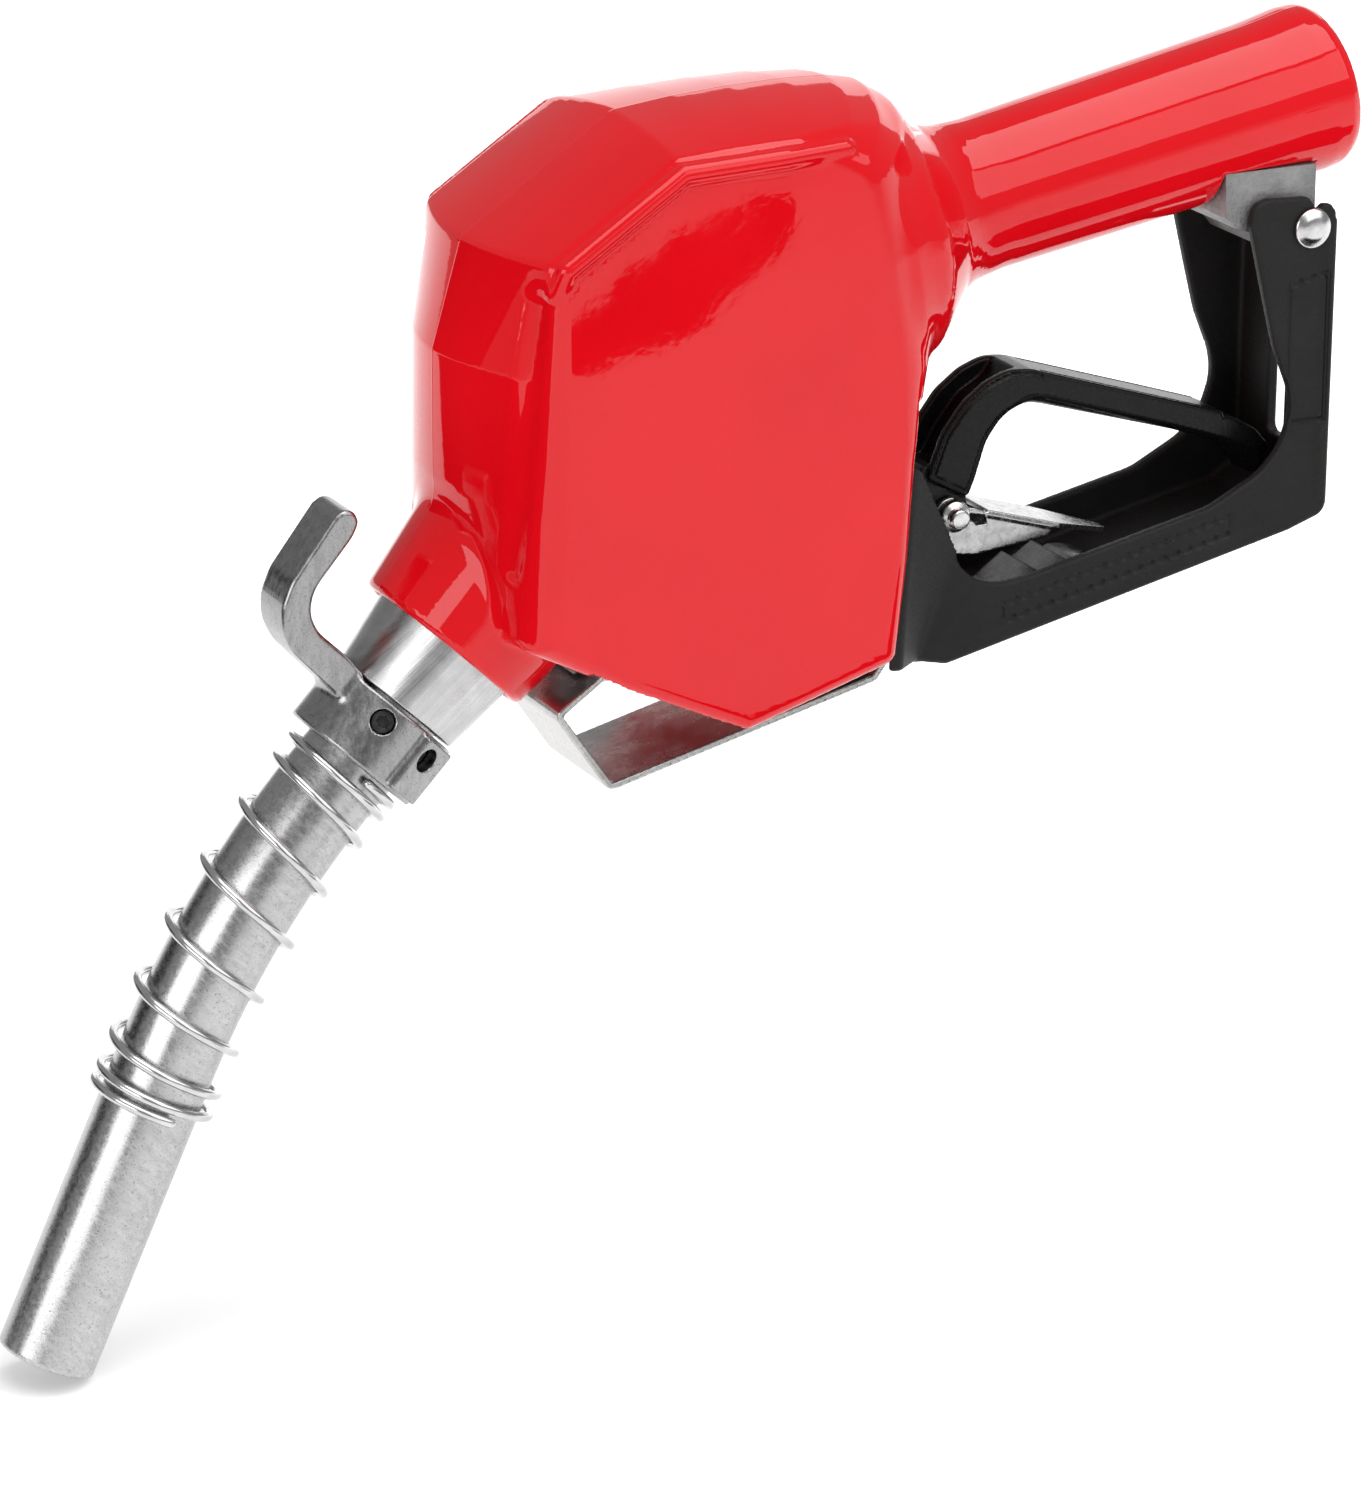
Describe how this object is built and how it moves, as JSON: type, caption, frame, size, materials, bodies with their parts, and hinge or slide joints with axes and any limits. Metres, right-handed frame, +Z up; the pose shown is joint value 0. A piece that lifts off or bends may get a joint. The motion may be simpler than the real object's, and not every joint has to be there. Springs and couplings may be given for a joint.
{
  "type": "fuel nozzle",
  "caption": "Hand-held fuel dispensing nozzle: covered valve body and grip with hose inlet, squeeze lever in a guard, hold-open clip, bent spout with spring and hanging hook.",
  "frame": {"origin": "centre of the hose inlet's annular end face, on the grip's centreline", "axes": "+X towards the hose side along the nozzle's length, +Y across the nozzle, +Z up; the grip rises 10.6 degrees towards +X"},
  "size_m": [0.3066, 0.066, 0.2567],
  "materials": {
    "vinyl": "glossy moulded vinyl, red",
    "casting": "sand-cast, matt",
    "zinc": "mottled satin metal",
    "steel": "bright plated",
    "strap": "plated sheet, slightly mottled",
    "plastic": "fine-grained black moulding",
    "lever_plastic": "smooth satin black moulding",
    "brass": "machined",
    "rubber": "matt"
  },
  "bodies": {
    "nozzle": {"vinyl_cover": "vinyl", "body_casting": "casting", "valve_seat": "brass", "poppet_spring": "steel", "stem_packing": "rubber", "packing_nut": "brass", "valve_cap": "zinc", "valve_cap_o_ring": "rubber", "plunger_spring": "steel", "diaphragm": "rubber", "diaphragm_spring": "steel", "diaphragm_cap": "zinc", "spout_adapter": "zinc", "adapter_o_ring": "rubber", "check_spring": "steel", "spout_tube": "zinc", "vent_tube": "steel", "spout_spring": "steel", "hook_collar": "zinc", "collar_set_screw_1": "steel", "collar_set_screw_2": "steel", "collar_set_screw_3": "steel", "lever_guard": "plastic", "guard_rivet": "steel", "hold_open_rack": "strap", "guard_strap": "strap", "strap_front_screw": "steel", "strap_rear_screw": "steel"},
    "plunger": {"latch_plunger": "steel", "lever_pivot_pin": "steel", "latch_ball_1": "steel", "latch_ball_2": "steel", "latch_ball_3": "steel"},
    "lever": {"lever": "lever_plastic", "clip_rivet": "steel"},
    "clip": {"hold_open_clip": "steel"},
    "valve": {"valve_poppet": "brass", "poppet_seal": "rubber"},
    "latch": {"latch_pin": "steel"},
    "check_valve": {"check_poppet": "brass"}
  },
  "joints": [
    {"name": "latch_drop", "type": "slide", "parent": "nozzle", "child": "plunger", "axis": [0, 0, 1], "range_m": [-0.0025, 0], "stiffness_N_per_m": 900, "springref_m": 0.006, "deforming": ["plunger_spring"]},
    {"name": "lever_squeeze", "type": "hinge", "parent": "plunger", "child": "lever", "pos_m": [-0.16202, 0, -0.10212], "axis": [0, -1, 0], "range_deg": [0, 8.5], "stiffness_Nm_per_rad": 2, "springref_deg": -8.59},
    {"name": "clip_swing", "type": "hinge", "parent": "lever", "child": "clip", "pos_m": [-0.08872, 0, -0.08102], "axis": [0, -1, 0], "range_deg": [0, 24]},
    {"name": "valve_lift", "type": "slide", "parent": "nozzle", "child": "valve", "axis": [0, 0, 1], "range_m": [0, 0.005], "deforming": ["poppet_spring"]},
    {"name": "diaphragm_lift", "type": "slide", "parent": "nozzle", "child": "latch", "axis": [0, 0, 1], "range_m": [0, 0.0015], "stiffness_N_per_m": 400, "springref_m": -0.003, "deforming": ["diaphragm", "diaphragm_spring"]},
    {"name": "check_open", "type": "slide", "parent": "nozzle", "child": "check_valve", "axis": [-0.6947, 0, -0.7193], "range_m": [0, 0.0025], "stiffness_N_per_m": 300, "springref_m": -0.004, "deforming": ["check_spring"]}
  ],
  "couplings": [
    {"joint": "valve_lift", "follows": "lever_squeeze", "m_per_rad": 0.0335}
  ]
}
